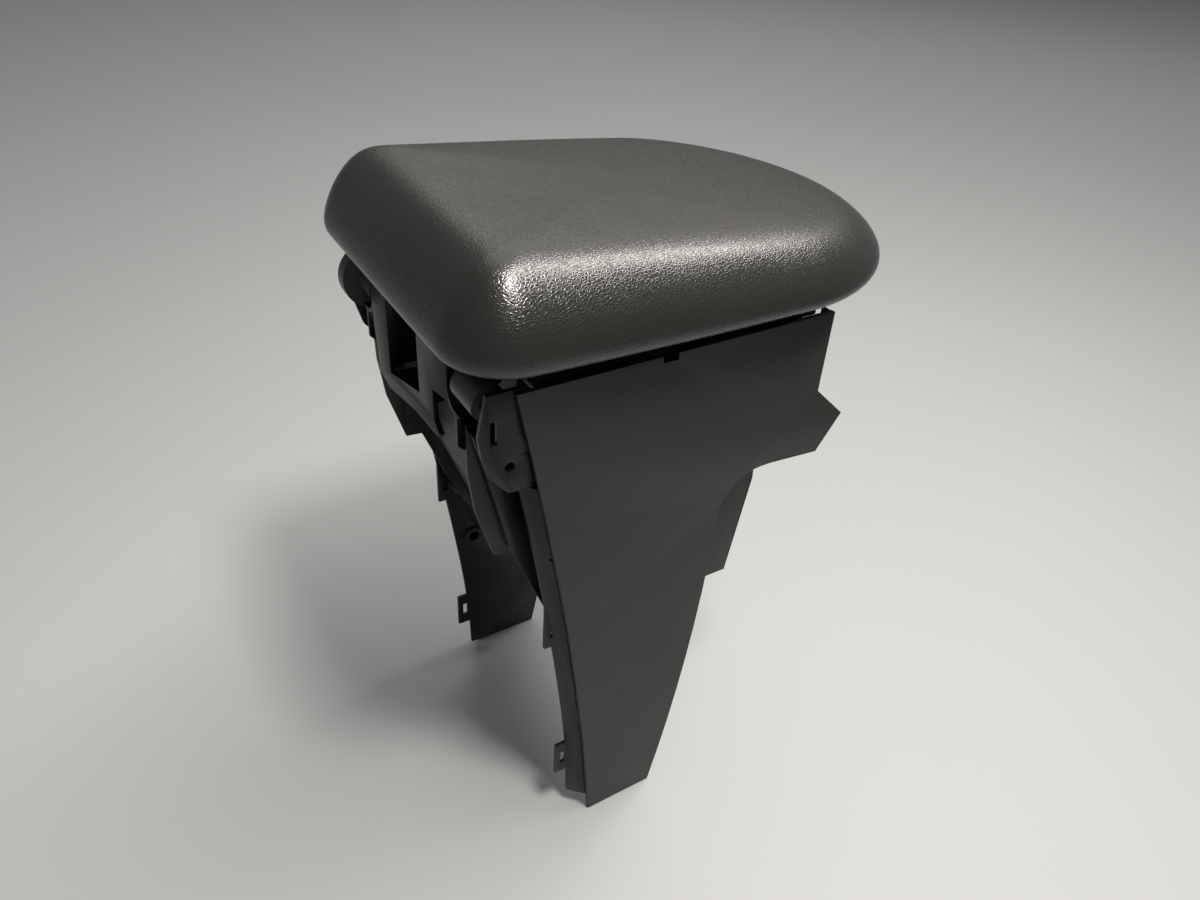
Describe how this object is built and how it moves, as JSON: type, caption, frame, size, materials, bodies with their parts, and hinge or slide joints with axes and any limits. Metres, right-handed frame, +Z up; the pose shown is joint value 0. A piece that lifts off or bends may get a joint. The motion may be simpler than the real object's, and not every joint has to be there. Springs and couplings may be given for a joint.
{
  "type": "car centre armrest",
  "caption": "Car centre armrest: padded hinged lid with a sprung latch over a deep storage bin, carried by two side frames with trim panels and legs.",
  "frame": {"origin": "on the floor plane below the middle of the whole part's box", "axes": "+X to the car's right side, +Y to the front of the armrest, +Z up"},
  "size_m": [0.239, 0.321, 0.448],
  "materials": {
    "trim_plastic": "fine moulded grain, satin",
    "frame_plastic": "moulded, slightly shiny",
    "clip_plastic": "natural nylon",
    "bracket_plastic": "moulded, satin",
    "screw_steel": "zinc plated",
    "bin_plastic": "moulded, matt",
    "mat_rubber": "ribbed, matt",
    "bumper_rubber": "matt",
    "striker_steel": "plated, bent sheet",
    "pin_steel": "ground",
    "pad_skin": "pebble grain, satin",
    "core_plastic": "moulded, matt",
    "liner_plastic": "fine grain, matt",
    "arm_plastic": "glass filled nylon, matt",
    "lever_plastic": "fine grain, satin",
    "spring_steel": "drawn wire"
  },
  "bodies": {
    "base": {"right_trim_panel": "trim_plastic", "left_trim_panel": "trim_plastic", "right_side_frame": "frame_plastic", "left_side_frame": "frame_plastic", "right_trim_clips": "clip_plastic", "left_trim_clips": "clip_plastic", "hinge_bracket": "bracket_plastic", "bracket_screws": "screw_steel", "storage_bin": "bin_plastic", "bin_mat": "mat_rubber", "bin_screws": "screw_steel", "lid_bumpers": "bumper_rubber", "latch_striker": "striker_steel", "right_hinge_pin": "pin_steel", "left_hinge_pin": "pin_steel"},
    "lid": {"lid_pad": "pad_skin", "lid_core": "core_plastic", "lid_liner": "liner_plastic", "lid_screws": "screw_steel", "right_hinge_arm": "arm_plastic", "left_hinge_arm": "arm_plastic", "hinge_screws": "screw_steel", "latch_pin": "pin_steel", "latch_spring": "spring_steel"},
    "latch": {"latch_lever": "lever_plastic"}
  },
  "joints": [
    {"name": "lid_hinge", "type": "hinge", "parent": "base", "child": "lid", "pos_m": [0, -0.134, 0.371], "axis": [1, 0, 0], "range_deg": [0, 88]},
    {"name": "latch_pivot", "type": "hinge", "parent": "lid", "child": "latch", "pos_m": [0, 0.1, 0.382], "axis": [1, 0, 0], "range_deg": [0, 7], "stiffness_Nm_per_rad": 0.06, "springref_deg": -8.59}
  ]
}
